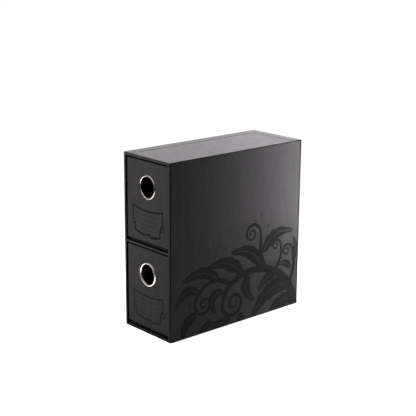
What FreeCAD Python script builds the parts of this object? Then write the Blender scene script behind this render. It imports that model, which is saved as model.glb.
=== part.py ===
import FreeCAD, Part
import os

import Sketcher

# A tall box for sleeved playing cards: a greyboard case covered in paper, a shelf across its
# middle, and two open trays that pull out of the front by a metal finger ring.
# Every board, every sheet of paper and every ring is its own solid, in millimetres.
# X runs across the front, Y from the open mouth (-Y) to the back, Z up from the table.
# Case pieces are drawn with y = 0 at the mouth and z = 0 at the table.
# Drawer pieces are drawn with y = 0 at the drawer's face and z = 0 under its tray.
# Both are then moved to their seats by their Placement.

SIZES = [
    ("pocket_width", 74, "inside of a tray, across: a double-sleeved card with finger room"),
    ("pocket_length", 206, "inside of a tray, front to back: the row of cards"),
    ("pocket_height", 101, "inside of a tray, floor to rim: a card on edge, clear of the rim"),
    ("tray_board", 2, "greyboard of the trays"),
    ("tray_corner", 1, "outside radius of a tray's upright corners"),
    ("plate_board", 2, "greyboard of the plate glued on a tray's front"),
    ("plate_edge", 0.7, "outside radius round the plate's front edge"),
    ("plate_turn", 12, "margin of the plate's paper glued on its back"),
    ("case_board", 3, "greyboard of the case"),
    ("case_edge", 1, "outside radius of all the case's edges"),
    ("shelf_board", 2.7, "greyboard of the shelf between the two drawers"),
    ("shelf_edge", 1.1, "outside radius of the shelf's front edges"),
    ("shelf_inset", 0.4, "how far the shelf stands behind the mouth"),
    ("paper", 0.25, "every covering and lining paper"),
    ("turn_in", 15, "paper turned over an edge to the inside"),
    ("lap", 14.5, "width of the hidden flap where the case's paper overlaps"),
    ("lap_step", 0.15, "height that the flap stands through the top sheet"),
    ("back_wrap", 2.4, "how far the back sheet comes round the rear edges"),
    ("side_clearance", 0.9, "gap on each side of a drawer"),
    ("glide_gap", 0.3, "gap under a drawer"),
    ("rim_clearance", 2.1, "gap above a tray's rim"),
    ("back_clearance", 1.2, "gap behind a closed drawer"),
    ("face_recess", 1.5, "how far a closed drawer's face stands behind the mouth"),
    ("face_lift", 3.3, "bottom of the face above the underside of its tray"),
    ("face_drop", 0.2, "top of the face below the rim of its tray"),
    ("ring_hole_radius", 12.75, "finger hole through the ring"),
    ("ring_bead", 1.2, "radius of the half-round bead that lies on the face"),
    ("ring_metal", 0.45, "sheet metal of the ring's shank"),
    ("ring_curl", 0.9, "outside radius of the curl that clamps the washer"),
    ("ring_clearance", 0.1, "gap between the ring's shank and the holes it passes"),
    ("washer_width", 2.1, "width of the washer behind the board, hole to edge"),
    ("washer_metal", 0.5, "thickness of the washer"),
    ("washer_gap", 0.8, "washer's edge below the paper turned in over the rim"),
]

FITS = [
    ("tray_wall", "Size.tray_board + 2 * Size.paper"),
    ("tray_width", "Size.pocket_width + 2 * tray_wall"),
    ("tray_length", "Size.pocket_length + 2 * tray_wall"),
    ("tray_height", "Size.pocket_height + tray_wall"),
    ("plate_depth", "Size.plate_board + 2 * Size.paper"),
    ("case_wall", "Size.case_board + 2 * Size.paper"),
    ("shelf_thickness", "Size.shelf_board + 2 * Size.paper"),
    ("bay_width", "tray_width + 2 * Size.side_clearance"),
    ("bay_height", "Size.glide_gap + tray_height + Size.rim_clearance"),
    ("bay_length", "Size.face_recess + plate_depth + tray_length + Size.back_clearance"),
    ("opening_height", "2 * bay_height + shelf_thickness"),
    ("case_width", "bay_width + 2 * case_wall"),
    ("case_height", "opening_height + 2 * case_wall"),
    ("case_length", "bay_length + case_wall"),
    ("wrap_length", "case_length - Size.back_wrap"),
    ("case_bevel", "(Size.case_edge - Size.paper) * 3 / 4"),
    ("mouth_y", "-case_length / 2"),
    ("face_y", "mouth_y + Size.face_recess"),
    ("shelf_z", "case_wall + bay_height"),
    ("lower_z", "case_wall + Size.glide_gap"),
    ("upper_z", "shelf_z + shelf_thickness + Size.glide_gap"),
    ("face_top", "tray_height - Size.face_drop"),
    ("shank_radius", "Size.ring_hole_radius + Size.ring_metal"),
    ("hole_radius", "shank_radius + Size.ring_clearance"),
    ("washer_radius", "hole_radius + Size.washer_width"),
    ("ring_z", "tray_height - Size.turn_in - Size.washer_gap - washer_radius"),
    ("curl_depth", "plate_depth + tray_wall + Size.washer_metal"),
]

DRAWERS = [("upper", "Fit.upper_z"), ("lower", "Fit.lower_z")]
NEAR = 1e-4

doc = FreeCAD.newDocument("CardBox")


def fill_sheets():
    """Writes the driving sizes as plain numbers, and the sizes worked out from them."""
    size = doc.addObject("Spreadsheet::Sheet", "Size")
    for row, (alias, number, note) in enumerate(SIZES, start=1):
        size.set(f"A{row}", alias)
        size.set(f"B{row}", str(number))
        size.set(f"C{row}", note)
        size.setAlias(f"B{row}", alias)
    fit = doc.addObject("Spreadsheet::Sheet", "Fit")
    for row, (alias, formula) in enumerate(FITS, start=1):
        fit.set(f"A{row}", alias)
        fit.set(f"B{row}", "=" + formula)
        fit.setAlias(f"B{row}", alias)
    doc.recompute()
    return fit


fit_sheet = fill_sheets()


def mm(expression):
    """The value of an expression now, for a first guess or to find an edge by its place."""
    return float(fit_sheet.evalExpression(expression))


# ---- drawing ------------------------------------------------------------------------------

def new_body(label):
    body = doc.addObject("PartDesign::Body", label)
    body.Label = label
    return body


def new_sketch(body, role, name, offset="0"):
    """A sketch on one of the body's own planes, moved along the plane's normal."""
    plane = next(item for item in body.Origin.OriginFeatures if item.Role == role)
    sketch = body.newObject("Sketcher::SketchObject", f"{body.Label}_{name}")
    sketch.AttachmentSupport = [(plane, "")]
    sketch.MapMode = "FlatFace"
    if offset != "0":
        sketch.setExpression("AttachmentOffset.Base.z", offset)
    return sketch


def front_sketch(body, name, y="0"):
    """A sketch seen from the front, x across and z up, at a depth y behind the mouth."""
    return new_sketch(body, "XZ_Plane", name, f"-({y})" if y != "0" else "0")


def bind(sketch, kind, geometry, expression):
    """Adds a dimension whose value follows an expression."""
    index = sketch.addConstraint(Sketcher.Constraint(kind, *geometry, mm(expression)))
    sketch.setExpression(f"Constraints[{index}]", expression)


def outline(sketch, corners):
    """A closed outline of straight edges; each corner is a pair of expressions."""
    first = sketch.GeometryCount
    count = len(corners)
    points = [FreeCAD.Vector(mm(across), mm(up), 0) for across, up in corners]
    for index in range(count):
        sketch.addGeometry(Part.LineSegment(points[index], points[(index + 1) % count]))
    for index in range(count):
        following = first + (index + 1) % count
        sketch.addConstraint(Sketcher.Constraint("Coincident", first + index, 2, following, 1))
    for index, (across, up) in enumerate(corners):
        for kind, axis, expression in (("DistanceX", -2, across), ("DistanceY", -1, up)):
            corner = (first + index, 1)
            if expression == "0":
                sketch.addConstraint(Sketcher.Constraint("PointOnObject", *corner, axis))
            else:
                bind(sketch, kind, (-1, 1, *corner), expression)


def rectangle(sketch, left, right, low, high):
    outline(sketch, [(left, low), (right, low), (right, high), (left, high)])


def centred_rectangle(sketch, width, low, high):
    rectangle(sketch, f"-({width}) / 2", f"({width}) / 2", low, high)


def circle(sketch, radius, height):
    """A circle on the sketch's upright axis, at a height above its origin."""
    index = sketch.addGeometry(
        Part.Circle(FreeCAD.Vector(0, mm(height), 0), FreeCAD.Vector(0, 0, 1), mm(radius)))
    bind(sketch, "Radius", (index,), radius)
    if height == "0":
        sketch.addConstraint(Sketcher.Constraint("Coincident", index, 3, -1, 1))
    else:
        sketch.addConstraint(Sketcher.Constraint("PointOnObject", index, 3, -2))
        bind(sketch, "DistanceY", (-1, 1, index, 3), height)


# ---- features -----------------------------------------------------------------------------

def pad(body, sketch, length, reversed_side=False, symmetric=False):
    feature = body.newObject("PartDesign::Pad", f"{sketch.Name}_pad")
    feature.Profile = sketch
    feature.Reversed = reversed_side
    if symmetric:
        feature.SideType = "Symmetric"
    feature.setExpression("Length", length)
    doc.recompute()
    return feature


def pocket(body, sketch, length, reversed_side=False):
    """Cuts the sketch away and makes sure that it really took something."""
    before = body.Shape.Volume
    feature = body.newObject("PartDesign::Pocket", f"{sketch.Name}_pocket")
    feature.Profile = sketch
    feature.Reversed = reversed_side
    feature.setExpression("Length", length)
    doc.recompute()
    if body.Shape.Volume > before - NEAR:
        raise RuntimeError(f"{feature.Name} cuts nothing")
    return feature


def middle(edge):
    return edge.valueAt((edge.FirstParameter + edge.LastParameter) / 2)


def dress_edges(body, base, kind, name, size, chosen):
    """Works the edges of a feature whose midpoints pass the test called chosen."""
    names = [f"Edge{number}" for number, edge in enumerate(base.Shape.Edges, start=1)
             if chosen(middle(edge))]
    feature = body.newObject(f"PartDesign::{kind}", f"{body.Label}_{name}")
    feature.Base = (base, names)
    feature.setExpression("Radius" if kind == "Fillet" else "Size", size)
    doc.recompute()
    return feature


def round_edges(body, base, name, radius, chosen):
    return dress_edges(body, base, "Fillet", name, radius, chosen)


def bevel_edges(body, base, name, width, chosen):
    return dress_edges(body, base, "Chamfer", name, width, chosen)


def at(value, *places):
    return any(abs(value - place) < NEAR for place in places)


def move(piece, y, z="0"):
    """Moves a finished piece to its seat."""
    piece.setExpression("Placement.Base.y", y)
    if z != "0":
        piece.setExpression("Placement.Base.z", z)
    return piece


def cut(label, base, tool):
    """What is left of one form when another is taken out of it."""
    result = doc.addObject("Part::Cut", label)
    result.Label = label
    result.Base = base
    result.Tool = tool
    return result


# ---- the case: boards ---------------------------------------------------------------------

def side_board(label, side):
    """A side of the case. It runs the full height and laps the ends of the top and bottom."""
    outer = f"{side} * (Fit.case_width / 2 - Size.paper)"
    inner = f"{side} * (Fit.bay_width / 2 + Size.paper)"
    low, high = "Size.paper", "Fit.case_height - Size.paper"
    front, length = "Size.paper", "Fit.case_length - 2 * Size.paper"
    body = new_body(label)
    sketch = front_sketch(body, "section", front)
    rectangle(sketch, inner, outer, low, high)
    board = pad(body, sketch, length, reversed_side=True)
    ends = (mm(front), mm(front) + mm(length))
    bevel_edges(
        body, board, "outer_edges", "Fit.case_bevel",
        lambda point: (at(point.y, *ends) and not at(point.x, mm(inner)))
        or (at(point.x, mm(outer)) and at(point.z, mm(low), mm(high))))
    return move(body, "Fit.mouth_y")


def level_board(label, outer, inner):
    """The top or the bottom of the case, between the two sides."""
    front, length = "Size.paper", "Fit.case_length - 2 * Size.paper"
    body = new_body(label)
    sketch = front_sketch(body, "section", front)
    centred_rectangle(sketch, "Fit.bay_width + 2 * Size.paper", inner, outer)
    board = pad(body, sketch, length, reversed_side=True)
    ends = (mm(front), mm(front) + mm(length))
    bevel_edges(
        body, board, "end_edges", "Fit.case_bevel",
        lambda point: at(point.y, *ends) and at(point.z, mm(outer)))
    return move(body, "Fit.mouth_y")


def back_board(label):
    """The back of the case, let in between its four walls."""
    body = new_body(label)
    sketch = front_sketch(body, "section", "Fit.bay_length + Size.paper")
    centred_rectangle(sketch, "Fit.bay_width + 2 * Size.paper",
                      "Fit.case_wall - Size.paper",
                      "Fit.case_height - Fit.case_wall + Size.paper")
    pad(body, sketch, "Size.case_board", reversed_side=True)
    return move(body, "Fit.mouth_y")


def shelf_board(label):
    """The shelf's board, behind the paper that is folded over its front edge."""
    front = "Size.shelf_inset + Size.paper"
    low, high = "Fit.shelf_z + Size.paper", "Fit.shelf_z + Size.paper + Size.shelf_board"
    body = new_body(label)
    sketch = front_sketch(body, "section", front)
    centred_rectangle(sketch, "Fit.bay_width", low, high)
    board = pad(body, sketch, f"Fit.bay_length - ({front})", reversed_side=True)
    round_edges(
        body, board, "front_edges", "Size.shelf_edge - Size.paper",
        lambda point: at(point.y, mm(front)) and at(point.z, mm(low), mm(high)))
    return move(body, "Fit.mouth_y")


# ---- the case: papers ---------------------------------------------------------------------

def case_block(body, inset):
    """The case's flat block, drawn inset by so much from its outside."""
    width = f"Fit.case_width - 2 * {inset}"
    low, high = f"{inset}", f"Fit.case_height - {inset}"
    front, length = f"{inset}", f"Fit.case_length - 2 * {inset}"
    sketch = front_sketch(body, "outline", front)
    centred_rectangle(sketch, width, low, high)
    return pad(body, sketch, length, reversed_side=True)


def case_form(body):
    """The outside of the whole case, all its edges rounded."""
    round_edges(body, case_block(body, "0"), "edges", "Size.case_edge", lambda point: True)


def case_board_form(label):
    """All five outer boards as one form, to be taken out of the papers round them."""
    body = new_body(label)
    bevel_edges(body, case_block(body, "Size.paper"), "edges", "Fit.case_bevel",
                lambda point: True)
    opening = front_sketch(body, "opening")
    centred_rectangle(opening, "Fit.bay_width + 2 * Size.paper",
                      "Fit.case_wall - Size.paper",
                      "Fit.case_height - Fit.case_wall + Size.paper")
    pocket(body, opening, "Fit.bay_length + Size.paper")
    return move(body, "Fit.mouth_y")


def case_wrap(label, boards):
    """One sheet round the top and both sides, turned in at the mouth.

    At the top left and along the back a hidden flap shows through it as a low step.
    """
    body = new_body(f"{label}_form")
    case_form(body)
    mouth = front_sketch(body, "mouth")
    centred_rectangle(mouth, "Fit.bay_width", "Fit.case_wall", "Fit.case_height - Fit.case_wall")
    pocket(body, mouth, "Fit.case_length")
    behind = front_sketch(body, "behind", "Size.turn_in")
    centred_rectangle(behind, "Fit.bay_width + 2 * Size.paper",
                      "Fit.case_wall - Size.paper",
                      "Fit.case_height - Fit.case_wall + Size.paper")
    pocket(body, behind, "Fit.case_length - Size.turn_in")
    rear = front_sketch(body, "rear", "Fit.wrap_length")
    centred_rectangle(rear, "2 * Fit.case_width", "-Fit.case_wall", "Fit.case_height + Fit.case_wall")
    pocket(body, rear, "2 * Size.back_wrap")
    base = front_sketch(body, "base", "-Fit.case_wall")
    centred_rectangle(base, "Fit.bay_width", "-Fit.case_wall", "Fit.case_wall")
    pocket(body, base, "Fit.case_length + Fit.case_wall")
    lap = new_sketch(body, "XY_Plane", "lap", "Fit.case_height")
    left = "-Fit.case_width / 2 + Size.case_edge"
    right = "Fit.case_width / 2 - Size.case_edge"
    outline(lap, [
        (left, "Size.case_edge"), ("-Fit.case_width / 2 + Size.lap", "Size.case_edge"),
        ("-Fit.case_width / 2 + Size.lap", "Fit.case_length - Size.lap"),
        (right, "Fit.case_length - Size.lap"), (right, "Fit.wrap_length"),
        (left, "Fit.wrap_length")])
    pad(body, lap, "Size.lap_step")
    return cut(label, move(body, "Fit.mouth_y"), boards)


def folded_sheet(body, front, length, turned, low, high, radius, dress_inside, size, both):
    """A sheet folded over a board's front edge: a long leg below, and a leg of its own above.

    Inside, the fold follows the board: dress_inside works its edges to the given size.
    """
    inner_front = f"{front} + Size.paper"
    sketch = new_sketch(body, "YZ_Plane", "fold")
    outline(sketch, [
        (front, low), (length, low), (length, f"{low} + Size.paper"),
        (inner_front, f"{low} + Size.paper"), (inner_front, f"{high} - Size.paper"),
        (turned, f"{high} - Size.paper"), (turned, high), (front, high)])
    sheet = pad(body, sketch, "Fit.bay_width", symmetric=True)
    heights = (mm(low), mm(high)) if both else (mm(low),)
    outer = round_edges(
        body, sheet, "fold_outside", radius,
        lambda point: at(point.y, mm(front)) and at(point.z, *heights) and at(point.x, 0))
    inner_heights = (mm(low) + mm("Size.paper"), mm(high) - mm("Size.paper"))
    heights = inner_heights if both else inner_heights[:1]
    dress_inside(
        body, outer, "fold_inside", size,
        lambda point: at(point.y, mm(inner_front)) and at(point.z, *heights) and at(point.x, 0))


def base_wrap(label):
    """The panel of the case's paper under the box, turned in over the bottom of the mouth."""
    body = new_body(label)
    folded_sheet(body, "0", "Fit.wrap_length", "Size.turn_in", "0", "Fit.case_wall",
                 "Size.case_edge", bevel_edges, "Fit.case_bevel", False)
    return move(body, "Fit.mouth_y")


def shelf_cover(label):
    """One paper over the shelf, from the back round its front edge to the back again."""
    body = new_body(label)
    folded_sheet(body, "Size.shelf_inset", "Fit.bay_length", "Fit.bay_length",
                 "Fit.shelf_z", "Fit.shelf_z + Fit.shelf_thickness",
                 "Size.shelf_edge", round_edges, "Size.shelf_edge - Size.paper", True)
    return move(body, "Fit.mouth_y")


def back_sheet(label, boards):
    """The sheet on the back, worked round the rear edges to meet the wrap."""
    body = new_body(f"{label}_form")
    case_form(body)
    front = front_sketch(body, "front", "-Fit.case_wall")
    centred_rectangle(front, "2 * Fit.case_width", "-Fit.case_wall",
                      "Fit.case_height + Fit.case_wall")
    pocket(body, front, "Fit.wrap_length + Fit.case_wall")
    return cut(label, move(body, "Fit.mouth_y"), boards)


def case_lining(label):
    """Paper glued on the walls and the back of the inside, up to the wrap's turn-in."""
    body = new_body(label)
    section = front_sketch(body, "section", "Size.turn_in")
    centred_rectangle(section, "Fit.bay_width + 2 * Size.paper",
                      "Fit.case_wall - Size.paper",
                      "Fit.case_height - Fit.case_wall + Size.paper")
    pad(body, section, "Fit.bay_length + Size.paper - Size.turn_in", reversed_side=True)
    inside = front_sketch(body, "inside", "Size.turn_in")
    centred_rectangle(inside, "Fit.bay_width", "Fit.case_wall", "Fit.case_height - Fit.case_wall")
    pocket(body, inside, "Fit.bay_length - Size.turn_in")
    return move(body, "Fit.mouth_y")


def make_case():
    low, wall = "Size.paper", "Fit.case_wall - Size.paper"
    pieces = [
        side_board("case_left_board", "-1"),
        side_board("case_right_board", "1"),
        level_board("case_bottom_board", low, wall),
        level_board("case_top_board", f"Fit.case_height - {low}", f"Fit.case_height - ({wall})"),
        back_board("case_back_board"),
        shelf_board("shelf_board"),
        shelf_cover("shelf_cover"),
        base_wrap("base_wrap"),
        case_lining("case_lining"),
    ]
    boards = case_board_form("case_board_form")
    return pieces + [case_wrap("case_wrap", boards), back_sheet("back_sheet", boards)]


# ---- a drawer: tray -----------------------------------------------------------------------

TRAY_FRONT = "Fit.plate_depth"
TRAY_BACK = "Fit.plate_depth + Fit.tray_length"


def ring_hole(body, depth):
    """The round hole that the ring's shank passes, through everything in its way."""
    hole = front_sketch(body, "ring_hole", "-Fit.plate_depth")
    circle(hole, "Fit.hole_radius", "Fit.ring_z")
    pocket(body, hole, f"{depth} + Fit.plate_depth")


def tray_side(label, side):
    """A long side of the tray, standing outside the ends and the floor."""
    outer = f"{side} * (Fit.tray_width / 2 - Size.paper)"
    inner = f"{side} * (Size.pocket_width / 2 + Size.paper)"
    front, back = f"{TRAY_FRONT} + Size.paper", f"{TRAY_BACK} - Size.paper"
    body = new_body(label)
    sketch = front_sketch(body, "section", front)
    rectangle(sketch, inner, outer, "Size.paper", "Fit.tray_height - Size.paper")
    board = pad(body, sketch, f"{back} - ({front})", reversed_side=True)
    round_edges(
        body, board, "upright_edges", "Size.tray_corner - Size.paper",
        lambda point: at(point.x, mm(outer)) and at(point.y, mm(front), mm(back))
        and not at(point.z, mm("Size.paper"), mm("Fit.tray_height - Size.paper")))
    return body


def tray_end(label, front, drilled):
    """A short end of the tray, between its long sides."""
    body = new_body(label)
    sketch = front_sketch(body, "section", front)
    centred_rectangle(sketch, "Size.pocket_width + 2 * Size.paper",
                      "Size.paper", "Fit.tray_height - Size.paper")
    pad(body, sketch, "Size.tray_board", reversed_side=True)
    if drilled:
        ring_hole(body, TRAY_BACK)
    return body


def tray_floor(label):
    """The floor of the tray, inside its four walls."""
    body = new_body(label)
    sketch = front_sketch(body, "section", f"{TRAY_FRONT} + Fit.tray_wall - Size.paper")
    centred_rectangle(sketch, "Size.pocket_width + 2 * Size.paper",
                      "Size.paper", "Size.paper + Size.tray_board")
    pad(body, sketch, "Size.pocket_length + 2 * Size.paper", reversed_side=True)
    return body


def tray_plan(body, name, inset, height):
    """The tray's plan, drawn inset by so much from its outside, at a height above its underside."""
    sketch = new_sketch(body, "XY_Plane", name, height)
    rectangle(sketch, f"-Fit.tray_width / 2 + ({inset})", f"Fit.tray_width / 2 - ({inset})",
              f"{TRAY_FRONT} + ({inset})", f"{TRAY_BACK} - ({inset})")
    return sketch


def tray_form(label, inset, cavities):
    """The tray's outer form, drawn inset by so much from its outside, with its hollows.

    Each hollow is the depth of wall left round it, and its bottom and top.
    """
    body = new_body(label)
    low, high = f"{inset}", f"Fit.tray_height - {inset}"
    block = pad(body, tray_plan(body, "plan", inset, low), f"{high} - {low}")
    half = mm("Fit.tray_width") / 2 - mm(inset)
    ends = (mm(TRAY_FRONT) + mm(inset), mm(TRAY_BACK) - mm(inset))
    round_edges(
        body, block, "upright_edges", f"Size.tray_corner - {inset}",
        lambda point: at(abs(point.x), half) and at(point.y, *ends)
        and not at(point.z, mm(low), mm(high)))
    for number, (wall, bottom, top) in enumerate(cavities):
        pocket(body, tray_plan(body, f"hollow_{number}", wall, top), f"{top} - ({bottom})")
    return body


def tray_wrap(label, boards):
    """One sheet round the outside of the tray, over its rim and down inside it."""
    folded = "Fit.tray_height - Size.turn_in"
    form = tray_form(f"{label}_form", "0", [
        ("Fit.tray_wall", folded, "Fit.tray_height"),
        ("Fit.tray_wall - Size.paper", "Fit.tray_wall - Size.paper", folded)])
    ring_hole(form, "Fit.plate_depth + Fit.tray_wall")
    return cut(label, form, boards)


def tray_lining(label):
    """Paper on the floor and the four walls inside, up to the outer sheet's turn-in."""
    body = new_body(label)
    edge, rim = "Fit.tray_wall - Size.paper", "Fit.tray_height - Size.turn_in"
    pad(body, tray_plan(body, "outside", edge, edge), f"{rim} - ({edge})")
    pocket(body, tray_plan(body, "inside", "Fit.tray_wall", rim), f"{rim} - Fit.tray_wall")
    ring_hole(body, "Fit.plate_depth + 2 * Fit.tray_wall")
    return body


# ---- a drawer: face and finger ring -------------------------------------------------------

def plate_block(body, inset):
    """The face's flat block with its front edge rounded, drawn inset by so much."""
    front, low, high = f"{inset}", f"Size.face_lift + {inset}", f"Fit.face_top - {inset}"
    sketch = front_sketch(body, "outline", front)
    centred_rectangle(sketch, f"Fit.tray_width - 2 * {inset}", low, high)
    block = pad(body, sketch, f"Fit.plate_depth - 2 * {inset}", reversed_side=True)
    round_edges(body, block, "front_edges", f"Size.plate_edge - {inset}",
                lambda point: at(point.y, mm(front)))


def front_plate(label):
    """The board of the face, shorter than the bay it closes."""
    body = new_body(label)
    plate_block(body, "Size.paper")
    ring_hole(body, "Fit.plate_depth")
    return body


def front_cover(label, plate):
    """Printed paper over the plate, its margins glued down on the plate's back."""
    body = new_body(f"{label}_form")
    plate_block(body, "0")
    window = front_sketch(body, "window", "Fit.plate_depth - Size.paper")
    centred_rectangle(window, "Fit.tray_width - 2 * Size.plate_turn",
                      "Size.face_lift + Size.plate_turn", "Fit.face_top - Size.plate_turn")
    pocket(body, window, "Size.paper")
    ring_hole(body, "Fit.plate_depth")
    return cut(label, body, plate)


def arc_points(across, up, radius, first, last, flats):
    """The corners, but for the two ends, of an arc drawn in so many flats."""
    turns = [first + (last - first) * step / flats for step in range(1, flats)]
    return [(f"{across} + {radius} * cos({turn} deg)", f"{up} + {radius} * sin({turn} deg)")
            for turn in turns]


def ring_section(sketch):
    """Half the ring's section: bead, shank and curl, in flats.

    The sketch has the ring's axis along its own x axis, and the radius up.
    """
    hole, bead, curl = "Size.ring_hole_radius", "Size.ring_bead", "Size.ring_curl"
    depth = "Fit.curl_depth"
    bead_flats, curl_flats = 5, 2
    corners = [("0", f"{hole} + 2 * {bead}")]
    corners += arc_points("0", f"{hole} + {bead}", bead, 90, 270, bead_flats)
    corners += [("0", hole), (depth, hole)]
    corners += arc_points(depth, f"{hole} + {curl}", curl, -90, 90, curl_flats)
    corners += [(depth, f"{hole} + 2 * {curl}"), (depth, "Fit.shank_radius"),
                ("0", "Fit.shank_radius")]
    outline(sketch, corners)


def finger_ring(label):
    """A ring turned from one section: bead on the face, shank through it, curl on the washer."""
    body = new_body(label)
    section = new_sketch(body, "YZ_Plane", "section")
    ring_section(section)
    ring = body.newObject("PartDesign::Revolution", f"{label}_turned")
    ring.Profile = section
    ring.ReferenceAxis = (section, ["H_Axis"])
    ring.Angle = 360
    return body


def ring_washer(label):
    """The flat washer that the curl clamps against the inside of the tray."""
    body = new_body(label)
    section = front_sketch(body, "section", "Fit.plate_depth + Fit.tray_wall")
    circle(section, "Fit.washer_radius", "0")
    circle(section, "Fit.hole_radius", "0")
    pad(body, section, "Size.washer_metal", reversed_side=True)
    return body


def make_drawer(name, base):
    """One drawer's eleven pieces, seated in the bay whose tray stands at height base."""
    board_form = tray_form(f"{name}_board_form", "Size.paper", [
        ("Fit.tray_wall - Size.paper", "Fit.tray_wall - Size.paper", "Fit.tray_height")])
    ring_hole(board_form, "Fit.plate_depth + Fit.tray_wall")
    plate = front_plate(f"{name}_front_plate")
    pieces = [
        tray_floor(f"{name}_floor_board"),
        tray_side(f"{name}_left_board", "-1"),
        tray_side(f"{name}_right_board", "1"),
        tray_end(f"{name}_front_board", f"{TRAY_FRONT} + Size.paper", True),
        tray_end(f"{name}_back_board", f"{TRAY_BACK} - Fit.tray_wall + Size.paper", False),
        tray_wrap(f"{name}_tray_wrap", board_form),
        tray_lining(f"{name}_tray_lining"),
        plate,
        front_cover(f"{name}_front_cover", plate),
    ]
    for piece in pieces:
        seat = piece if piece.TypeId == "PartDesign::Body" else piece.Base
        move(seat, "Fit.face_y", base)
    move(board_form, "Fit.face_y", base)
    rings = [finger_ring(f"{name}_finger_ring"), ring_washer(f"{name}_ring_washer")]
    for piece in rings:
        move(piece, "Fit.face_y", f"{base} + Fit.ring_z")
    return pieces + rings


# ---- build, check and write ---------------------------------------------------------------

def check(pieces):
    """Stops unless every object is up to date and every piece is one valid solid."""
    for item in doc.Objects:
        if "Invalid" in item.State or "Error" in item.State:
            raise RuntimeError(f"{item.Label}: {item.State}")
        if item.TypeId == "Sketcher::SketchObject" and not item.FullyConstrained:
            raise RuntimeError(f"{item.Label} isn't fully constrained")
    for piece in pieces:
        shape = piece.Shape
        if shape.isNull() or not shape.isValid() or len(shape.Solids) != 1:
            raise RuntimeError(f"{piece.Label} isn't one valid solid")
        print(f"{piece.Label}: {shape.Volume:.1f} mm3")


pieces = make_case()
for name, base in DRAWERS:
    pieces += make_drawer(name, base)
doc.recompute()
check(pieces)
os.makedirs("parts", exist_ok=True)
for piece in pieces:
    piece.Shape.exportStep(f"parts/{piece.Label}.step")
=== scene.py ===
# %% [markdown]
# # A black card box with two drawers
#
# This box keeps rows of sleeved playing cards. It is greyboard covered in matt black paper, with
# a shelf across its middle and two trays that pull out by a metal ring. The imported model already
# has every board, paper and ring at its true size. This script gives them their looks: the paper
# and its grain, the bright ring, the gloss varnish on the faces and on the side.
# It starts by loading that model, which stays where it is.

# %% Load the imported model
import math

import bmesh
import bpy
import numpy as np
from mathutils import Matrix, Vector
from mathutils.geometry import delaunay_2d_cdt


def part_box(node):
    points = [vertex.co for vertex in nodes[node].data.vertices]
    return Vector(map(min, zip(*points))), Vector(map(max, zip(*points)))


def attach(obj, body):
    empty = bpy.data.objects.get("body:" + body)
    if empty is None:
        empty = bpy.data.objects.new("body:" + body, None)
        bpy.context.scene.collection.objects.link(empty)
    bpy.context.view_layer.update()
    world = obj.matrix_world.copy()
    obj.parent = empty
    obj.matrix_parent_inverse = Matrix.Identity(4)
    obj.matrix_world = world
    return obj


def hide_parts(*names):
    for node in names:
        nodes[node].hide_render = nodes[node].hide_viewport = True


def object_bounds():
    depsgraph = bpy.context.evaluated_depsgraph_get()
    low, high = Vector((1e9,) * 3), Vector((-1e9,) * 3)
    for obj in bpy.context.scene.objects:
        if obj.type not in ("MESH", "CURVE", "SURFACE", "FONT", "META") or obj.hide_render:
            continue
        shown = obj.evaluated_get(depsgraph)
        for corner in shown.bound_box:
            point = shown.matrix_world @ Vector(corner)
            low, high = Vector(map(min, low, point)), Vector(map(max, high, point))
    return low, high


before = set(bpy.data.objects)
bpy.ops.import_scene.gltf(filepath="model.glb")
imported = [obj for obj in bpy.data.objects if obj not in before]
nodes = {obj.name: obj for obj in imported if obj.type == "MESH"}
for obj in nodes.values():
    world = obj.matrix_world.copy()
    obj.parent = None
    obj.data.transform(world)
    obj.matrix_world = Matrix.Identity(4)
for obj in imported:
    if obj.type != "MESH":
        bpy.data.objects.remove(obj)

cad_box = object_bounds()
scene = bpy.context.scene
low, high = Vector(cad_box[0]), Vector(cad_box[1])
print(len(nodes), "pieces in a box of", [round(side * 1000, 1) for side in high - low], "mm")

# %% [markdown]
# ## The camera
#
# A tall box shows itself best from a little above and well to one side, so that the front, the
# side and the top all show. A long lens from over a metre away keeps its upright edges nearly
# parallel. The camera could be aimed with a constraint, but three axes written out as a matrix
# are exact and stay put.

# %% Set the camera
MM = 0.001
AZIMUTH, ELEVATION, ROLL = math.radians(48.267), math.radians(14.991), math.radians(0.425)
DISTANCE, LENS, SENSOR = 1334.7 * MM, 90.73, 36
AIM_RIGHT, AIM_UP = -8.34 * MM, 29.025 * MM
CASE_HEIGHT = 222.1

back = Vector((math.sin(AZIMUTH) * math.cos(ELEVATION),
               -math.cos(AZIMUTH) * math.cos(ELEVATION), math.sin(ELEVATION)))
level_right = Vector((math.cos(AZIMUTH), math.sin(AZIMUTH), 0))
level_up = back.cross(level_right)
right = math.cos(ROLL) * level_right + math.sin(ROLL) * level_up
up = math.cos(ROLL) * level_up - math.sin(ROLL) * level_right
centre = Vector((0, 0, CASE_HEIGHT / 2 * MM))
eye = centre + back * DISTANCE + right * AIM_RIGHT + up * AIM_UP

camera = bpy.data.objects.new("camera", bpy.data.cameras.new("camera"))
scene.collection.objects.link(camera)
camera.matrix_world = Matrix.Translation(eye) @ Matrix((right, up, back)).transposed().to_4x4()
camera.data.lens, camera.data.sensor_width = LENS, SENSOR
camera.data.clip_start, camera.data.clip_end = 0.05, 30
scene.camera = camera
scene.view_settings.view_transform = "Standard"
print("camera at", [round(value, 3) for value in eye])

# %% [markdown]
# ## Daylight without a window
#
# Matt black paper shows its form only through soft, wide lights. Panels stand round the box: two
# behind it for the top, two at the front left for the drawers, and two on the right, whose light
# skims along the side and fades towards the front. The lower one of a pair is weak and only lifts
# what the upper one leaves dark. The bright ring doesn't mirror the two at the front, which would
# burn small white spots into it. A touch less green gives the paper its faint mauve cast.

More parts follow.
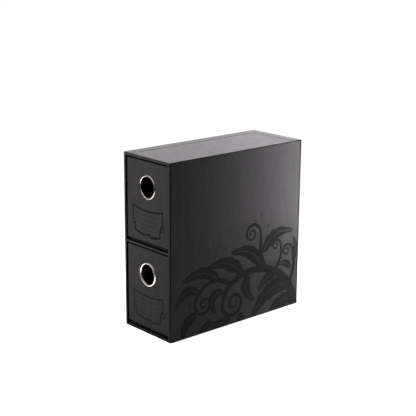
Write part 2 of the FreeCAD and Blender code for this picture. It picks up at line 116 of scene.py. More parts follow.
# %% Hang the light panels
def light_panel(name, place, target, width, height, watts, beam, green):
    """A soft rectangular lamp at place, facing target, with its light kept to a beam in degrees."""
    lamp = bpy.data.lights.new(name, "AREA")
    lamp.shape, lamp.size, lamp.size_y, lamp.energy = "RECTANGLE", width, height, watts
    lamp.spread, lamp.color = math.radians(beam), (1, green, 1)
    panel = bpy.data.objects.new(name, lamp)
    scene.collection.objects.link(panel)
    panel.location = place
    panel.rotation_euler = (Vector(place) - Vector(target)).to_track_quat("Z", "Y").to_euler()
    panel.visible_glossy = "front" not in name


# name, place, target, width and height in metres, watts, beam, share of green
PANELS = (
    ("front_panel", (-0.35, -0.42, 0.50), (0, -0.11, 0.24), 0.30, 0.15, 2.6, 70, 1),
    ("low_front_panel", (-0.16, -0.26, 0.10), (-0.04, -0.11, 0.07), 0.08, 0.12, 0.10, 70, 1),
    ("side_panel", (0.30, 0.46, 0.14), (0.044, 0.22, 0.12), 0.12, 0.30, 0.97, 55, 0.97),
    ("low_side_panel", (0.20, 0.40, 0.06), (0.044, 0.24, 0.03), 0.12, 0.12, 0.32, 55, 0.97),
    ("top_panel", (-0.55, 0.70, 0.55), (0, 0.12, 0.22), 0.80, 0.50, 0.62, 100, 0.93),
    ("rear_panel", (-0.30, 0.80, 0.50), (0, 0.16, 0.22), 0.80, 0.40, 0.38, 100, 0.93))
for settings in PANELS:
    light_panel(*settings)

# %% [markdown]
# ## White all round
#
# The ground and the air around the box read as plain white. Making them white with lamps alone
# would wash out the black paper. A Light Path node tells a shader who is asking: the camera and
# shiny surfaces see white, and the paper gets a calmer grey fill. Written out, a node takes five
# lines and hides what it's for, so two small helpers do the sums: one stretches a value over a
# range, the other adds or multiplies.

# %% Colour the air
SEEN_WHITE, FILL_GREY = 1.0, 0.02
RANGE = ("From Min", "From Max", "To Min", "To Max")


def spread(tree, source, first, last, start=0.3, end=0.7):
    """Stretches a value between start and end over first to last."""
    range_node = tree.nodes.new("ShaderNodeMapRange")
    for socket, value in zip(RANGE, (start, end, first, last)):
        range_node.inputs[socket].default_value = value
    tree.links.new(source, range_node.inputs["Value"])
    return range_node.outputs["Result"]


def worked(tree, operation, first, second):
    """Arithmetic on two sockets or numbers."""
    sum_node = tree.nodes.new("ShaderNodeMath")
    sum_node.operation = operation
    for socket, value in zip(sum_node.inputs, (first, second)):
        if isinstance(value, (int, float)):
            socket.default_value = value
        else:
            tree.links.new(value, socket)
    return sum_node.outputs[0]


def seen_directly(tree):
    """A value of 1 for rays from the camera, a mirror or glass, and 0 for the others."""
    path = tree.nodes.new("ShaderNodeLightPath")
    either = path.outputs["Is Camera Ray"]
    for kind in ("Is Glossy Ray", "Is Transmission Ray"):
        either = worked(tree, "MAXIMUM", either, path.outputs[kind])
    return either


world = bpy.data.worlds.new("studio_air")
scene.world = world
world.use_nodes = True
air = world.node_tree
strength = spread(air, seen_directly(air), FILL_GREY, SEEN_WHITE, start=0, end=1)
air.links.new(strength, air.nodes["Background"].inputs["Strength"])
air.nodes["Background"].inputs["Color"].default_value = (1, 1, 1, 1)
print("air: white when seen,", FILL_GREY, "as fill")

# %% Lay the ground
GROUND_RADIUS, GROUND_SIDES = 8, 96
ground_mesh = bpy.data.meshes.new("ground")
shape = bmesh.new()
bmesh.ops.create_circle(shape, cap_ends=True, segments=GROUND_SIDES, radius=GROUND_RADIUS)
shape.to_mesh(ground_mesh)
shape.free()
ground = bpy.data.objects.new("ground", ground_mesh)
scene.collection.objects.link(ground)
print("ground:", GROUND_RADIUS, "m across its radius")

# %% [markdown]
# ## A shade where the box stands
#
# The ground glows white by itself and takes the lamps' shadows as well. Within a millimetre of the
# box the glow fades out, as light does where two things touch. An Ambient Occlusion node could
# find that edge, but it asks many rays for every spot of the ground. The distance to the box's
# outline is plain arithmetic on the spot's position and costs nothing.

# %% Helpers for materials and vectors
def new_finish(name, **settings):
    """A material; each setting is a socket of its main shader, written with underscores."""
    finish = bpy.data.materials.new(name)
    finish.use_nodes = True
    shader = finish.node_tree.nodes["Principled BSDF"]
    for words, value in settings.items():
        shader.inputs[words.replace("_", " ")].default_value = value
    return finish, finish.node_tree, shader


def bare_finish(name):
    """A material without its main shader, to be given another."""
    finish, tree, shader = new_finish(name)
    tree.nodes.remove(shader)
    return finish, tree


def of_the_surface(tree, what):
    """A fact about the spot on the surface, such as its Position or its True Normal."""
    return tree.nodes.new("ShaderNodeNewGeometry").outputs[what]


def worked_vector(tree, operation, first, second=None):
    """Arithmetic on a vector socket; second is a plain vector, or another socket."""
    vector = tree.nodes.new("ShaderNodeVectorMath")
    vector.operation = operation
    tree.links.new(first, vector.inputs[0])
    if isinstance(second, tuple):
        vector.inputs[1].default_value = second
    elif second is not None:
        tree.links.new(second, vector.inputs[1])
    return vector.outputs["Value" if operation in ("LENGTH", "DOT_PRODUCT") else "Vector"]


print("shader helpers ready")

# %% Paint the ground
GROUND_GLOW, GROUND_PALE, GROUND_GREY = 1.0, 0.62, 0.12
CONTACT = 1
ground_paint, paint = bare_finish("ground_white")
matt = paint.nodes.new("ShaderNodeBsdfDiffuse")
glow = paint.nodes.new("ShaderNodeEmission")
both = paint.nodes.new("ShaderNodeAddShader")
seen = seen_directly(paint)
paint.links.new(spread(paint, seen, GROUND_GREY, GROUND_PALE, start=0, end=1), matt.inputs["Color"])
half_box = ((high.x - low.x) / 2, (high.y - low.y) / 2, 1)
beyond = worked_vector(paint, "ABSOLUTE", of_the_surface(paint, "Position"))
beyond = worked_vector(paint, "SUBTRACT", beyond, half_box)
beyond = worked_vector(paint, "MAXIMUM", beyond, (0, 0, 0))
away = worked_vector(paint, "LENGTH", beyond)
lift = worked(paint, "MULTIPLY", seen, GROUND_GLOW)
lift = worked(paint, "MULTIPLY", lift, spread(paint, away, 0, 1, start=0, end=CONTACT * MM))
paint.links.new(lift, glow.inputs["Strength"])
paint.links.new(matt.outputs[0], both.inputs[0])
paint.links.new(glow.outputs[0], both.inputs[1])
paint.links.new(both.outputs[0], paint.nodes["Material Output"].inputs["Surface"])
ground_mesh.materials.append(ground_paint)
print("contact shade:", CONTACT, "mm wide")

# %% [markdown]
# ## A dark card in front
#
# Bright metal looks like metal when it mirrors both light and dark, so in a studio a black card is
# stood before the box. A flat card would show in one flank of the ring only. This one is a curved
# sheet that fades to grey towards its top. The camera, the lamps' shadows and soft light all pass
# through it, so that only the ring, the varnish and the faint shine of the paper know of it. It
# stands clear of a drawer pulled right out.

# %% Stand the card
CARD_DISTANCE, CARD_HIGH = 0.36, 0.42
CARD_FIRST, CARD_LAST, CARD_STEP = -75, 100, 5
card_shape = bmesh.new()
edges = []
for angle in range(CARD_FIRST, CARD_LAST + 1, CARD_STEP):
    across, ahead = math.sin(math.radians(angle)), -math.cos(math.radians(angle))
    edges.append([card_shape.verts.new((across * CARD_DISTANCE, ahead * CARD_DISTANCE, height))
                  for height in (0, CARD_HIGH)])
for first, second in zip(edges, edges[1:]):
    card_shape.faces.new((first[0], second[0], second[1], first[1]))
card_mesh = bpy.data.meshes.new("dark_card")
card_shape.to_mesh(card_mesh)
card_shape.free()
card = bpy.data.objects.new("dark_card", card_mesh)
scene.collection.objects.link(card)
card.visible_camera = card.visible_shadow = card.visible_diffuse = False
print("card", CARD_HIGH, "m high,", CARD_DISTANCE, "m away")

# %% Let the card fade upwards
CARD_FADE, CARD_BLACK, CARD_GREY = 0.231, 0.04, 0.5


def height_of(tree):
    """The height above the table."""
    split = tree.nodes.new("ShaderNodeSeparateXYZ")
    tree.links.new(of_the_surface(tree, "Position"), split.inputs[0])
    return split.outputs["Z"]


card_paint, tree = bare_finish("card_black")
card_glow = tree.nodes.new("ShaderNodeEmission")
fade = spread(tree, height_of(tree), CARD_BLACK, CARD_GREY, start=CARD_FADE, end=CARD_HIGH)
tree.links.new(fade, card_glow.inputs["Strength"])
tree.links.new(card_glow.outputs[0], tree.nodes["Material Output"].inputs["Surface"])
card_mesh.materials.append(card_paint)
print("card fades above", CARD_FADE, "m")

# %% [markdown]
# ## Matt black paper
#
# The case, the trays and the drawer faces are covered in an uncoated, dyed-through black paper. It
# isn't one flat black: its pulp is streaked and mottled over a few millimetres, and it is darker
# and duller where it is folded hard over a board's edge, which is partly worn and partly painted
# shade.
# Where two pieces nearly touch, as in the gaps round a drawer, hardly any light gets in, and a
# painted shade darkens the colour there. An image could show all that, but noise worked out from
# the piece's own millimetres stays sharp at any distance.

# %% Write greys as screen tones
PAPER_TINT = (1.012, 0.982, 1.0)


def tone_of(level, tint=(1, 1, 1)):
    """A grey written as a screen tone from 0 to 255, with a share for red, green and blue."""
    parts = [level * share / 255 for share in tint]
    return (*(part / 12.92 if part <= 0.04045 else ((part + 0.055) / 1.055) ** 2.4
              for part in parts), 1)


print("a tone of 50 is", [round(value, 4) for value in tone_of(50)])

# %% Mottle, blend and raise
def speckle(tree, per_metre, detail, stretch=(1, 1, 1)):
    """Noise in the piece's own space, with so many spots to the metre."""
    place = tree.nodes.new("ShaderNodeTexCoord")
    scale = tree.nodes.new("ShaderNodeMapping")
    scale.inputs["Scale"].default_value = stretch
    noise = tree.nodes.new("ShaderNodeTexNoise")
    noise.inputs["Scale"].default_value = per_metre
    noise.inputs["Detail"].default_value = detail
    tree.links.new(place.outputs["Object"], scale.inputs["Vector"])
    tree.links.new(scale.outputs["Vector"], noise.inputs["Vector"])
    return noise.outputs["Fac"]


def blend_colours(tree, share, first, last):
    """Goes from the first colour to the last as share rises; each is a socket or a colour."""
    mix = tree.nodes.new("ShaderNodeMix")
    mix.data_type = "RGBA"
    tree.links.new(share, mix.inputs["Factor"])
    for socket, colour in (("A", first), ("B", last)):
        slot = next(item for item in mix.inputs if item.name == socket and item.type == "RGBA")
        if isinstance(colour, tuple):
            slot.default_value = colour
        else:
            tree.links.new(colour, slot)
    return next(item for item in mix.outputs if item.type == "RGBA")


def bumped(tree, height, strength, depth, shader):
    """Raises a shader's surface by a height value, to a depth in metres."""
    bump = tree.nodes.new("ShaderNodeBump")
    bump.inputs["Strength"].default_value = strength
    bump.inputs["Distance"].default_value = depth
    tree.links.new(height, bump.inputs["Height"])
    tree.links.new(bump.outputs["Normal"], shader.inputs["Normal"])


print("noise, blends and bumps ready")

# %% Find folds, crevices and directions
SAMPLES = 8
FOLD, SIDE_FOLD = 0.6 * MM, 1.5 * MM
LID, LID_FADE, LID_FOLD_SHARE = high.z - 0.2 * MM, 0.4 * MM, 0.05
PATCHES = (420, 4)


def facing(tree, way):
    """A value of 1 on a surface that faces a given way, falling to 0 on those square to it."""
    turned_to = worked_vector(tree, "DOT_PRODUCT", of_the_surface(tree, "True Normal"), way)
    return spread(tree, turned_to, 0, 1, start=0.2, end=0.8)


def folded_edges(tree, reach):
    """A value that rises to 1 where the surface turns within reach, as on a folded edge."""
    soft = tree.nodes.new("ShaderNodeBevel")
    soft.samples = SAMPLES
    soft.inputs["Radius"].default_value = reach
    normal = of_the_surface(tree, "True Normal")
    straight = worked_vector(tree, "DOT_PRODUCT", soft.outputs["Normal"], normal)
    return spread(tree, straight, 0, 1, start=0.995, end=0.90)


def crevice_shade_mask(tree, reach):
    """A mask for painted shade: it falls from 1 to 0 where other surfaces crowd in, as round a
    drawer.
    """
    shelter = tree.nodes.new("ShaderNodeAmbientOcclusion")
    shelter.samples = SAMPLES
    shelter.inputs["Distance"].default_value = reach
    return spread(tree, shelter.outputs["AO"], 0, 1, start=0.35, end=0.95)


def fold_wear_and_shade(tree):
    """A value near 1 on a fold, worn and in painted shade: wide and even on the side, patchy
    elsewhere, faint on the lid.
    """
    # on the side, a wide and even band of painted shade along its folds
    wide = worked(tree, "MULTIPLY", folded_edges(tree, SIDE_FOLD), facing(tree, (1, 0, 0)))
    patchy = spread(tree, speckle(tree, *PATCHES), 0.1, 1)
    wear_and_shade = worked(tree, "MULTIPLY", folded_edges(tree, FOLD), patchy)
    wear_and_shade = worked(tree, "MAXIMUM", wear_and_shade, wide)
    below_lid = spread(tree, height_of(tree), 1, LID_FOLD_SHARE, start=LID - LID_FADE, end=LID)
    return worked(tree, "MULTIPLY", wear_and_shade, below_lid)


print("folds darken", round(FOLD / MM, 1), "mm in, on the side", round(SIDE_FOLD / MM, 1), "mm")

# %% Make the papers
# each noise: spots to the metre, detail, and how it is stretched
PULP, STREAKS = (130, 3, (1, 1, 0.3)), (150, 2, (1, 1, 0.25))
FIBRES, NAP, FIBRE_SHARE = (500, 2), (2600, 3), 1.4
DEEP_SHADE, HIDDEN_SHADE, MAUVE_SHINE = tone_of(3), tone_of(1), (1, 0.96, 1, 1)
NAP_DEPTH, SHEEN_SWING, FOLD_DULLS = 0.02 * MM, 0.025, 0.3


def black_paper(name, dark, light, folded, roughness, grain, shine, front_shine,
                reach=3.5, painted_top_shade=False):
    """Dyed paper, from the dark and light tones of its pulp and the tone of its folds, which are
    partly worn and partly painted shade. front_shine is the shine of what faces the drawers' way.
    Crevices get a painted shade within reach, in mm. The last switch gives all that faces upwards a
    painted deep shade.
    """
    finish, tree, shader = new_finish(name, Specular_Tint=MAUVE_SHINE)
    pulp = spread(tree, speckle(tree, *PULP), 0, 1)
    colour = blend_colours(tree, pulp, tone_of(dark, PAPER_TINT), tone_of(light, PAPER_TINT))
    wear_and_shade = fold_wear_and_shade(tree)
    # folds go to the folded tone: partly worn folds, partly painted fold shade
    colour = blend_colours(tree, wear_and_shade, colour, tone_of(folded, PAPER_TINT))
    # painted shade: where other surfaces crowd in, the colour goes to the deep shade
    colour = blend_colours(tree, crevice_shade_mask(tree, reach * MM), DEEP_SHADE, colour)
    # painted shade: what faces upwards goes to the hidden shade, for the shade under the drawer
    # above
    if painted_top_shade:
        colour = blend_colours(tree, facing(tree, (0, 0, 1)), colour, HIDDEN_SHADE)
    tree.links.new(colour, shader.inputs["Base Color"])
    level = spread(tree, facing(tree, (0, -1, 0)), shine, front_shine, start=0, end=1)
    level = worked(tree, "MULTIPLY", level, spread(tree, wear_and_shade, 1, 0.1, start=0, end=0.5))
    tree.links.new(level, shader.inputs["Specular IOR Level"])
    streaks = speckle(tree, *STREAKS)
    sheen = spread(tree, streaks, roughness - SHEEN_SWING, roughness + SHEEN_SWING)
    sheen = worked(tree, "ADD", sheen, worked(tree, "MULTIPLY", wear_and_shade, FOLD_DULLS))
    tree.links.new(sheen, shader.inputs["Roughness"])
    fibres = worked(tree, "MULTIPLY", speckle(tree, *FIBRES), FIBRE_SHARE)
    height = worked(tree, "ADD", speckle(tree, *NAP), fibres)
    bumped(tree, height, grain, NAP_DEPTH, shader)
    return finish


# after the name: dark, light and folded tones, roughness, grain, shine, shine of the front
wrap_paper = black_paper("wrap_paper", 29, 38, 16, 0.38, 0.5, 0.09, 0.01)
# The shelf's paper is a lighter copy, painted light for its lit front edge; its top gets painted
# shade.
shelf_paper_lit_and_shaded = black_paper("shelf_paper_lit_and_shaded", 38, 43, 34, 0.5, 0.5, 0.0, 0.01, painted_top_shade=True)
# The base's paper is a darker copy, painted shade for its front lip and the floor under the lower
# drawer; its painted crevice shade reaches 7 mm.
shaded_base_paper = black_paper("shaded_base_paper", 25, 29, 18, 0.5, 0.5, 0.01, 0.01, reach=7)
face_paper = black_paper("face_paper", 33, 38, 36, 0.50, 0.5, 0.02, 0.01)
tray_paper = black_paper("tray_paper", 31, 36, 24, 0.5, 0.5, 0.08, 0.08)
lining_paper = black_paper("lining_paper", 27, 32, 24, 0.6, 0.4, 0.06, 0.06)
print("papers:", wrap_paper.name, face_paper.name, lining_paper.name)

# %% [markdown]
# ## Greyboard
#
# Under the paper is greyboard, pressed from waste paper: grey, matt and fibrous. A flat grey would
# do, because the paper hides nearly all of it. Noise drawn out one way gives it fibres at no cost,
# wherever it does show.

# %% Make the greyboard
BOARD_TINT = (1.03, 1, 0.94)
BOARD_DARK, BOARD_LIGHT = tone_of(104, BOARD_TINT), tone_of(138, BOARD_TINT)
BOARD_NOISE, BOARD_RELIEF, BOARD_DEPTH = (900, 4, (1, 1, 0.35)), 0.6, 0.05 * MM
board, tree, shader = new_finish("greyboard", Roughness=0.9, Specular_IOR_Level=0.2)
fibre = spread(tree, speckle(tree, *BOARD_NOISE), 0, 1)
tree.links.new(blend_colours(tree, fibre, BOARD_DARK, BOARD_LIGHT), shader.inputs["Base Color"])
bumped(tree, fibre, BOARD_RELIEF, BOARD_DEPTH, shader)
print("greyboard made")

# %% [markdown]
# ## Bright metal and gloss varnish
#
# The ring is nickel plate, a little warm in colour and a little soft in its shine, as pressed and
# tumbled parts are. The varnish on the side and the ink of the labels are both gloss black, the
# ink being the deeper. One even roughness would look like plastic. Here each roughness wanders a
# little, which breaks up the mirror image as real polish does.

# %% Make the ring's metal and the varnish
METAL_TINT = (1.038, 1, 0.974)


def glossy(name, smoothest, roughest, per_metre, detail, **settings):
    """A shiny finish whose roughness wanders between two values."""
    finish, tree, shader = new_finish(name, **settings)
    wander = spread(tree, speckle(tree, per_metre, detail), smoothest, roughest)
    tree.links.new(wander, shader.inputs["Roughness"])
    return finish


ring_metal = glossy("ring_metal", 0.20, 0.25, 300, 3,
                    Metallic=1.0, Base_Color=tone_of(230, METAL_TINT))
varnish = glossy("gloss_varnish", 0.18, 0.26, 200, 2,
                 Base_Color=tone_of(24), Specular_IOR_Level=0.05)
label_ink = glossy("label_ink", 0.12, 0.20, 200, 2,
                   Base_Color=tone_of(17), Specular_IOR_Level=0.015)
print("metal and varnish made")

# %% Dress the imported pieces
FINISHES = (("finger_ring", ring_metal), ("ring_washer", ring_metal), ("front_cover", face_paper),
            ("lining", lining_paper), ("tray_wrap", tray_paper), ("base_wrap", shaded_base_paper),
            ("shelf_cover", shelf_paper_lit_and_shaded), ("case_wrap", wrap_paper), ("back_sheet", wrap_paper))


def finish_for(name):
    """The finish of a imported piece, by how its name ends; all the rest is board."""
    return next((finish for ending, finish in FINISHES if name.endswith(ending)), board)


for name, piece in nodes.items():
    piece.data.materials.clear()
    piece.data.materials.append(finish_for(name))
print("dressed", len(nodes), "pieces")

# %% [markdown]
# ## The finger ring
#
# The ring is pressed from nickel-plated sheet steel: a round bead lies on the face, a straight
# shank goes through the board, and its end is curled back over a washer. A torus primitive would
# give the bead only. Turning one section round the hole's axis gives all of it as one skin, with
# as many steps round the bead as the highlights need.

# %% Turn a ring
TURN_STEPS = 160


def turned(name, section, middle, body, finish):
    """A skin turned round an axis along Y from a closed section of radius and depth in mm."""
    shape = bmesh.new()
    rings = []
    for step in range(TURN_STEPS):
        angle = 2 * math.pi * step / TURN_STEPS
        rings.append([shape.verts.new((middle[0] + radius * MM * math.cos(angle),
                                       middle[1] + depth * MM,
                                       middle[2] + radius * MM * math.sin(angle)))
                      for radius, depth in section])
    count = len(section)
    for step in range(TURN_STEPS):
        here, after = rings[step], rings[(step + 1) % TURN_STEPS]
        for index in range(count):
            following = (index + 1) % count
            shape.faces.new((here[index], here[following], after[following], after[index]))
    bmesh.ops.recalc_face_normals(shape, faces=shape.faces)
    return finished_piece(name, shape, body, finish, smooth=True)


def finished_piece(name, shape, body, finish, smooth=False):
    """Turns a bmesh into a piece that rides on a body."""
    mesh = bpy.data.meshes.new(name)
    shape.to_mesh(mesh)
    shape.free()
    mesh.materials.append(finish)
    for face in mesh.polygons:
        face.use_smooth = smooth
    piece = bpy.data.objects.new(name, mesh)
    scene.collection.objects.link(piece)
    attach(piece, body)
    return piece


def arc(middle, radius, first, last, steps):
    """Points on an arc between two angles in degrees, both ends included."""
    return [(middle[0] + radius * math.cos(math.radians(first + (last - first) * step / steps)),
             middle[1] + radius * math.sin(math.radians(first + (last - first) * step / steps)))
            for step in range(steps + 1)]


HOLE, BEAD, CURL, SHEET = 12.75, 1.2, 0.9, 0.45
TUCK, SLANT = 0.35, 0.02
BEAD_STEPS, CURL_STEPS = 18, 10
for drawer in ("upper", "lower"):
    node = f"{drawer}_finger_ring"
    corner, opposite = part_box(node)
    face_depth = corner.y + BEAD * MM
    curl_depth = opposite.y / MM - face_depth / MM - CURL
    middle = ((corner.x + opposite.x) / 2, face_depth, (corner.z + opposite.z) / 2)
    section = arc((HOLE + BEAD, 0), BEAD, 0, -180, BEAD_STEPS)
    section += arc((HOLE + CURL, curl_depth), CURL, 180, 0, CURL_STEPS)
    section += [(HOLE + CURL + TUCK, curl_depth + SLANT), (HOLE + SHEET, curl_depth - SLANT),
                (HOLE + SHEET, 0.0)]
    ring = turned(f"{drawer}_ring", section, middle, f"{drawer}_drawer", ring_metal)
    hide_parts(node)
    print(ring.name, "has", len(ring.data.polygons), "faces")

# %% [markdown]
# ## Gloss varnish
#
# The makers print a clear gloss varnish over the matt paper, so its patterns show only by their
# shine: they are darker than the paper where the paper's nap catches light. The varnish lies a few
# hundredths of a millimetre proud. It could be a mask between two shaders. Here it is thin closed
# solids in the black of varnished paper, which keep a sharp edge at any distance and show their
# own slight thickness.

# %% Draw with a tapering pen
THINNEST = 0.12


def flow(points, steps=10):
    """A smooth line through points, each a tuple of numbers; the same rule blends all of them."""
    padded = [points[0], *points, points[-1]]
    line = []
    for index in range(1, len(padded) - 2):
        before, here, after, beyond = padded[index - 1:index + 3]
        for step in range(steps):
            share = step / steps
            line.append(tuple(
                0.5 * (2 * b + (c - a) * share + (2 * a - 5 * b + 4 * c - d) * share ** 2
                       + (3 * b - a - 3 * c + d) * share ** 3)
                for a, b, c, d in zip(before, here, after, beyond)))
    return line + [tuple(map(float, points[-1]))]


def edges_of(line, left_share=0.5, right_share=0.5, gap=0.0):
    """The left and right edges of a pen line whose points are across, up and width."""
    lefts, rights = [], []
    for index, (across, up_to, width) in enumerate(line):
        ahead, behind = line[min(index + 1, len(line) - 1)], line[max(index - 1, 0)]
        run, rise = ahead[0] - behind[0], ahead[1] - behind[1]
        length = math.hypot(run, rise) or 1.0
        normal = (-rise / length, run / length)
        lefts.append((across + normal[0] * (width * left_share + gap),
                      up_to + normal[1] * (width * left_share + gap)))
        rights.append((across - normal[0] * (width * right_share - gap),
                       up_to - normal[1] * (width * right_share - gap)))
    return lefts, rights


def stroke(points):
    """One pen stroke through points of across, up and width in mm."""
    line = flow(points)
    return edges_of([(across, up_to, max(width, THINNEST)) for across, up_to, width in line])


print("no line is thinner than", THINNEST, "mm")

# %% Draw scrolls, drops and leaves
EYE_START, EYE_LENGTH, EYE_SWELL = 0.93, 0.07, 1.5
LEAF_LEAN, LEAF_FULL, LOBE_DEPTH, VEIN = 0.75, 0.85, 0.16, 0.9
SCROLL_STEPS, DROP_STEPS, LEAF_STEPS = 60, 10, 16


def scroll(middle, start_radius, end_radius, start, turns, start_width, end_width):
    """A spiral stroke that winds in from an angle in degrees, ending in a round eye."""
    line = []
    for step in range(SCROLL_STEPS + 1):
        share = step / SCROLL_STEPS
        radius = start_radius * (end_radius / start_radius) ** share
        angle = math.radians(start + 360 * turns * share)
        eye = EYE_SWELL * end_width * max(0.0, (share - EYE_START) / EYE_LENGTH) ** 0.5
        line.append((middle[0] + radius * math.cos(angle), middle[1] + radius * math.sin(angle),
                     start_width + (end_width - start_width) * share + eye))
    return edges_of(line)


def drop(middle, size):
    """A round dot, as two facing edges."""
    left = arc(middle, size / 2, 90, 270, DROP_STEPS)
    right = arc(middle, size / 2, 90, -90, DROP_STEPS)
    return left, right


def leaf(spine, width, lobes):
    """A pointed leaf along a spine of across and up, in two halves with a bare vein between."""
    line = flow([(across, up_to, 0) for across, up_to in spine], LEAF_STEPS)
    last = len(line) - 1
    shaped = []
    for index, (across, up_to, _) in enumerate(line):
        share = index / last
        body = math.sin(math.pi * share ** LEAF_LEAN) ** LEAF_FULL if 0 < share < 1 else 0
        ripple = 1 + LOBE_DEPTH * abs(math.sin(math.pi * lobes * share))
        shaped.append((across, up_to, max(width * body * ripple, THINNEST)))
    half = VEIN / 2
    return [edges_of(shaped, 0.5, 0.0, half), edges_of(shaped, 0.0, 0.5, -half)]


print("pen ready")

# %% Raise drawn shapes into a thin solid
VARNISH_SUNK, VARNISH_PROUD = 0.02 * MM, 0.06 * MM
MERGE = 1e-4


def inside_any(points, loops):
    """For each point, whether it lies inside one of the closed loops, by counting its turns."""
    found = np.zeros(len(points), bool)
    for loop in loops:
        start, end = loop, np.roll(loop, -1, axis=0)
        turns = np.zeros(len(points), int)
        for (x0, y0), (x1, y1) in zip(start, end):
            left = (x1 - x0) * (points[:, 1] - y0) - (points[:, 0] - x0) * (y1 - y0)
            turns += ((y0 <= points[:, 1]) & (y1 > points[:, 1]) & (left > 0)).astype(int)
            turns -= ((y0 > points[:, 1]) & (y1 <= points[:, 1]) & (left < 0)).astype(int)
        found |= turns != 0
    return found


def joined(strokes):
    """All strokes as one flat shape: corner points, and triangles that lie inside any stroke."""
    loops = [np.array([*lefts, *reversed(rights)]) for lefts, rights in strokes]
    points, outlines = [], []
    for loop in loops:
        outlines.append(list(range(len(points), len(points) + len(loop))))
        points += [Vector(point) for point in loop]
    corners, _, triangles, *_ = delaunay_2d_cdt(points, [], outlines, 1, MERGE)
    flat = np.array([tuple(corner) for corner in corners])
    inside = inside_any(flat[np.array(triangles)].mean(axis=1), loops)
    return corners, [triangle for triangle, kept in zip(triangles, inside) if kept]


def inlay(name, strokes, place, body, finish, lowest=None):
    """One thin closed solid from pen strokes, cut off below lowest.

    The function called place maps across, up and height to the box's space.
    """
    corners, triangles = joined(strokes)
    shape = bmesh.new()
    points = [shape.verts.new((corner.x, corner.y, 0)) for corner in corners]
    for triangle in triangles:
        shape.faces.new([points[index] for index in triangle])
    if lowest is not None:
        everything = [*shape.verts, *shape.edges, *shape.faces]
        bmesh.ops.bisect_plane(shape, geom=everything, plane_co=(0, lowest, 0),
                               plane_no=(0, 1, 0), clear_inner=True)
    loose = [point for point in shape.verts if not point.link_faces]
    bmesh.ops.delete(shape, geom=loose, context="VERTS")
    raised = bmesh.ops.extrude_face_region(shape, geom=shape.faces[:])["geom"]
    lifted = {item for item in raised if isinstance(item, bmesh.types.BMVert)}
    for point in shape.verts:
        height = VARNISH_PROUD if point in lifted else -VARNISH_SUNK
        point.co = place(point.co.x * MM, point.co.y * MM, height)
    bmesh.ops.recalc_face_normals(shape, faces=shape.faces)
    piece = finished_piece(name, shape, body, finish)
    print(name, "has", len(strokes), "strokes and", len(piece.data.polygons), "faces")
    return piece


# %% [markdown]
# ## The label on each drawer
#
# Under the ring each face carries the outline of a label to write on: a sheet whose top sags, whose
# sides end in small curls, and whose lower edge is wavy, with faint lines ruled inside. Bevelled
# curves could draw it. The pen is used again because it makes one closed solid of all its lines.

# %% Print the labels
EDGE, RULE, FOOT_SHARE, CURL_SHARE = 2.0, 0.28, 1.3, 0.7
# a ruled line sags: shares of its reach to each side, and mm above its height there
RULE_SAG = ((-1, 1.0), (-0.5, -0.4), (0, -0.9), (0.5, -0.4), (1, 1.0))


def pen(points, width):
    """A stroke of one width through points of across and up in mm."""
    return stroke([(across, up_to, width) for across, up_to in points])


def label_strokes():
    """The label, with its origin at the ring's centre."""
    top = [(-29.3, -24.8), (-25, -25.9), (-20, -27.0), (-10, -28.4), (0, -28.9), (10, -28.4),
           (20, -27.0), (25, -25.9), (29.3, -24.9)]
    left = [(-28.2, -25.0), (-28.1, -33), (-28.0, -41.3), (-26.6, -42.3), (-24.8, -42.6)]
    right_edge = [(28.0, -25.0), (27.8, -33), (27.6, -40.2), (25.6, -43.6), (24.0, -47)]
    left_curl = [(-24.8, -42.6), (-24.2, -45.5), (-25.6, -48.0), (-28.6, -48.3), (-30.2, -45.8),
                 (-28.6, -43.6)]
    right_curl = [(24.0, -47), (26.5, -49.0), (29.6, -48.2), (30.9, -45.2), (29.4, -42.6),
                  (26.9, -42.9)]
    left_low = [(-24.6, -45.5), (-24.1, -50), (-23.6, -56.4)]
    right_low = [(24.0, -46.6), (23.5, -51), (23.2, -57.2)]
    foot = [(-24.2, -55.9), (-20, -56.8), (-15, -57.9), (-9, -59.4), (-5, -59.0), (0, -58.0),
            (3.6, -57.6), (5.4, -59.6), (8, -60.2), (13, -59.4), (18, -58.4), (23.6, -57.0)]
    outline = [pen(points, EDGE) for points in (top, left, right_edge, left_low, right_low)]
    outline.append(pen(foot, EDGE * FOOT_SHARE))
    curls = [pen(points, EDGE * CURL_SHARE) for points in (left_curl, right_curl)]
    rules = []
    for up_to, reach in ((-34.0, 24), (-40.0, 23.5), (-46.0, 21.5), (-51.8, 20.5)):
        rules.append(pen([(reach * side, up_to + sag) for side, sag in RULE_SAG], RULE))
    return outline + curls + rules


LABEL_DROP = {"upper": 1.0, "lower": 0.0}
for drawer in ("upper", "lower"):
    corner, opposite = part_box(f"{drawer}_finger_ring")
    ring_height = (corner.z + opposite.z) / 2 - LABEL_DROP[drawer] * MM
    face_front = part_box(f"{drawer}_front_cover")[0].y
    label = inlay(f"{drawer}_label", label_strokes(),
                  lambda across, up_to, height: (across, face_front - height, ring_height + up_to),
                  f"{drawer}_drawer", label_ink)

# %% [markdown]
# ## The ornament on the side
#
# The lower half of one side carries a large scroll of leaves and tendrils in the same varnish, cut
# off by the bottom edge. Each stem is a pen stroke that thins as it winds in, and each leaf is two
# halves along a bare vein, as a sign painter would lay them down. Drawn from a few points each,
# they are easy to bend and to scale, which an image isn't.

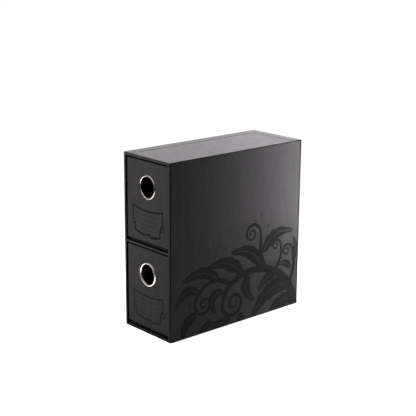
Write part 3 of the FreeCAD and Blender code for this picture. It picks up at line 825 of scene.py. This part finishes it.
# %% Print the ornament
def ornament_strokes():
    """Scrolling leaves; across is the distance behind the mouth, up the height above the table."""
    strokes = [
        stroke([(214, -8, 15), (207, 22, 12.5), (186, 48, 11), (154, 62, 9.5), (118, 62, 8),
                (92, 48, 6.8), (84, 28, 5.6)]),
        scroll((104, 28), 20.5, 4.2, 180, 1.6, 5.6, 2.0),
        stroke([(158, 62, 8), (150, 84, 6), (150, 106, 4.4)]),
        scroll((134, 112), 16, 3.2, -20, 1.6, 4.4, 1.9),
        stroke([(204, 34, 6), (211, 56, 5), (208, 76, 4)]),
        scroll((197, 78), 11, 2.4, -10, 1.4, 4, 1.6),
        stroke([(98, 54, 7), (76, 64, 5.8), (54, 60, 5), (40, 46, 4.4)]),
        scroll((54, 37), 16.5, 3.2, 146, 1.5, 4.4, 1.9),
        stroke([(176, 56, 6), (186, 72, 4.6), (186, 88, 3.6)]),
        scroll((177, 89), 9, 2.2, -6, 1.3, 3.6, 1.5),
    ]
    for spine, width, lobes in (
            [((206, 28), (184, 34), (158, 24), (134, 0)), 21, 6],
            [((212, 8), (196, 12), (178, 6), (164, -8)), 15, 4],
            [((178, 54), (168, 50), (156, 44), (146, 32)), 12, 4],
            [((152, 66), (140, 82), (122, 92), (98, 94)), 16, 5],
            [((154, 84), (166, 98), (184, 106), (208, 104)), 14, 5],
            [((118, 64), (104, 76), (84, 84), (58, 82)), 15, 5],
            [((130, 60), (124, 48), (128, 34), (140, 22)), 13, 4],
            [((86, 46), (72, 46), (66, 34), (74, 20)), 11, 3],
            [((78, 64), (60, 76), (40, 78), (18, 72)), 13, 5],
            [((46, 54), (30, 60), (18, 54), (9, 42)), 11, 4],
            [((42, 28), (30, 22), (22, 12), (20, -2)), 12, 4],
            [((98, 10), (86, 6), (72, 6), (58, 12)), 11, 3],
            [((66, 14), (58, 8), (50, 2), (46, -8)), 9, 3],
            [((110, 10), (116, 4), (120, -2), (124, -8)), 10, 3],
            [((206, 52), (198, 60), (192, 62), (182, 62)), 8, 2],
            [((208, 62), (213, 72), (213, 84), (208, 96)), 7, 3]):
        strokes += leaf(spine, width, lobes)
    for across, up_to, size in ((140, 128, 3.4), (150, 134, 2.4), (162, 118, 2.6), (90, 102, 3.0),
                                (80, 107, 2.2), (34, 88, 2.8), (26, 84, 2.0), (170, 112, 2.0),
                                (30, 40, 2.6), (28, 33, 1.9), (152, 14, 3.2), (146, 8, 2.4)):
        strokes.append(drop((across, up_to), size))
    return strokes


LOWEST = 1.5
side_plane, mouth = high.x, low.y
print("side at", round(side_plane / MM, 2), "mm")
ornament = inlay("side_ornament", ornament_strokes(),
                 lambda across, up_to, height: (side_plane + height, mouth + across, up_to),
                 "case", varnish, lowest=LOWEST)
